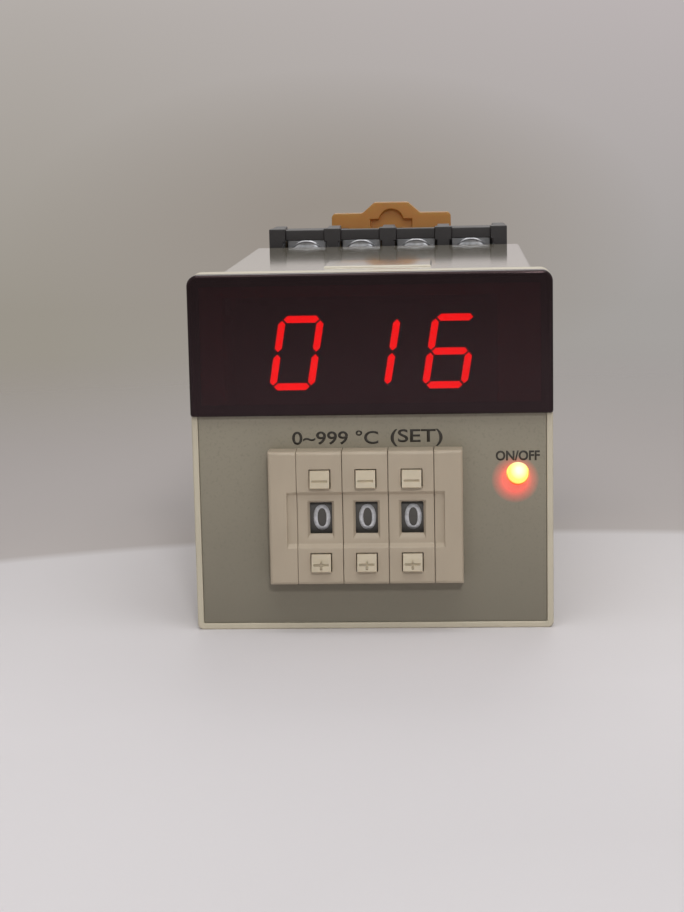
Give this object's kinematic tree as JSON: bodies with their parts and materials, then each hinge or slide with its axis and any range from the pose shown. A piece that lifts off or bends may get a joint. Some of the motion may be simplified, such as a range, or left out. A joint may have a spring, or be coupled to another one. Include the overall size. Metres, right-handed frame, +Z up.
{
  "type": "digital temperature controller",
  "caption": "Square panel temperature controller with a tinted display window and push-button thumbwheel, plugged into a rail socket with screw terminals and a release clip.",
  "frame": {"origin": "centre of the housing's section in the plane where the front frame's flange meets the panel", "axes": "+X to the right seen from the front, +Y back from the panel towards the socket, +Z up"},
  "size_m": [0.048, 0.1149, 0.0542],
  "materials": {
    "cream_plastic": "satin moulded",
    "tinted_window": "polished, dark red tint",
    "grey_plate": "printed satin sheet",
    "indicator_epoxy": "diffused epoxy, lit",
    "tinned_leads": "tinned",
    "lit_red": "diffused epoxy, lit",
    "dark_red": "diffused epoxy, dark",
    "display_shell": "matt face",
    "circuit_board": "solder-masked laminate",
    "beige_plastic": "fine satin moulded",
    "ivory_plastic": "satin moulded",
    "wheel_grey": "satin moulded, printed figures",
    "contact_brass": "rolled strip",
    "spring_steel": "drawn wire",
    "zinc_steel": "zinc plated",
    "black_plug": "moulded phenolic",
    "nickel_pin": "nickel plated",
    "header_black": "moulded",
    "core_steel": "varnished laminations",
    "bobbin_nylon": "moulded nylon",
    "winding_tape": "polyester tape",
    "relay_cover": "moulded",
    "can_sleeve": "shrink sleeve",
    "chip_epoxy": "moulded epoxy",
    "wire_insulation": "extruded",
    "black_socket": "moulded, fine grain",
    "amber_clip": "translucent moulded nylon"
  },
  "bodies": {
    "controller": {"bezel": "cream_plastic", "display_window": "tinted_window", "face_plate": "grey_plate", "indicator_led": "indicator_epoxy", "led_leads": "tinned_leads", "lit_segments": "lit_red", "unlit_segments": "dark_red", "display_body": "display_shell", "display_board": "circuit_board", "switch_end_left": "beige_plastic", "switch_end_right": "beige_plastic", "key_springs": "spring_steel", "switch_rods": "zinc_steel", "case": "cream_plastic", "plug_pins": "nickel_pin", "plug_base": "black_plug", "pin_leads": "wire_insulation", "base_screws": "zinc_steel", "power_board": "circuit_board", "logic_board": "circuit_board", "board_connectors": "header_black", "transformer_core": "core_steel", "transformer_bobbin": "bobbin_nylon", "transformer_winding": "winding_tape", "output_relay": "relay_cover", "capacitors": "can_sleeve", "ic_packages": "chip_epoxy", "switch_module_1": "beige_plastic", "code_board_1": "circuit_board", "switch_module_2": "beige_plastic", "code_board_2": "circuit_board", "switch_module_3": "beige_plastic", "code_board_3": "circuit_board"},
    "socket": {"socket_body": "black_socket", "socket_base": "black_socket", "cover_screws": "zinc_steel", "socket_contacts": "contact_brass", "terminal_screws": "zinc_steel", "clamp_plates": "zinc_steel", "clip_spring": "spring_steel"},
    "rail_clip": {"din_clip": "amber_clip"},
    "wheel_1": {"digit_wheel_1": "wheel_grey", "wheel_contacts_1": "contact_brass"},
    "minus_1": {"minus_key_1": "ivory_plastic"},
    "plus_1": {"plus_key_1": "ivory_plastic"},
    "wheel_2": {"digit_wheel_2": "wheel_grey", "wheel_contacts_2": "contact_brass"},
    "minus_2": {"minus_key_2": "ivory_plastic"},
    "plus_2": {"plus_key_2": "ivory_plastic"},
    "wheel_3": {"digit_wheel_3": "wheel_grey", "wheel_contacts_3": "contact_brass"},
    "minus_3": {"minus_key_3": "ivory_plastic"},
    "plus_3": {"plus_key_3": "ivory_plastic"}
  },
  "joints": [
    {"name": "socket_pull", "type": "slide", "parent": "controller", "child": "socket", "axis": [0, 1, 0], "range_m": [0, 0.016]},
    {"name": "clip_release", "type": "slide", "parent": "socket", "child": "rail_clip", "axis": [0, 0, 1], "range_m": [0, 0.003], "stiffness_N_per_m": 1000, "springref_m": -0.002, "deforming": ["clip_spring"]},
    {"name": "wheel_1_turn", "type": "hinge", "parent": "controller", "child": "wheel_1", "pos_m": [-0.00695, 0.0006, -0.00842], "axis": [1, 0, 0], "continuous": true},
    {"name": "minus_1_press", "type": "slide", "parent": "controller", "child": "minus_1", "axis": [0, 1, 0], "range_m": [0, 0.0012], "stiffness_N_per_m": 600, "springref_m": -0.0005, "deforming": ["key_springs"]},
    {"name": "plus_1_press", "type": "slide", "parent": "controller", "child": "plus_1", "axis": [0, 1, 0], "range_m": [0, 0.0012], "stiffness_N_per_m": 600, "springref_m": -0.0005, "deforming": ["key_springs"]},
    {"name": "wheel_2_turn", "type": "hinge", "parent": "controller", "child": "wheel_2", "pos_m": [-0.00088, 0.0006, -0.00842], "axis": [1, 0, 0], "continuous": true},
    {"name": "minus_2_press", "type": "slide", "parent": "controller", "child": "minus_2", "axis": [0, 1, 0], "range_m": [0, 0.0012], "stiffness_N_per_m": 600, "springref_m": -0.0005, "deforming": ["key_springs"]},
    {"name": "plus_2_press", "type": "slide", "parent": "controller", "child": "plus_2", "axis": [0, 1, 0], "range_m": [0, 0.0012], "stiffness_N_per_m": 600, "springref_m": -0.0005, "deforming": ["key_springs"]},
    {"name": "wheel_3_turn", "type": "hinge", "parent": "controller", "child": "wheel_3", "pos_m": [0.00519, 0.0006, -0.00842], "axis": [1, 0, 0], "continuous": true},
    {"name": "minus_3_press", "type": "slide", "parent": "controller", "child": "minus_3", "axis": [0, 1, 0], "range_m": [0, 0.0012], "stiffness_N_per_m": 600, "springref_m": -0.0005, "deforming": ["key_springs"]},
    {"name": "plus_3_press", "type": "slide", "parent": "controller", "child": "plus_3", "axis": [0, 1, 0], "range_m": [0, 0.0012], "stiffness_N_per_m": 600, "springref_m": -0.0005, "deforming": ["key_springs"]}
  ]
}
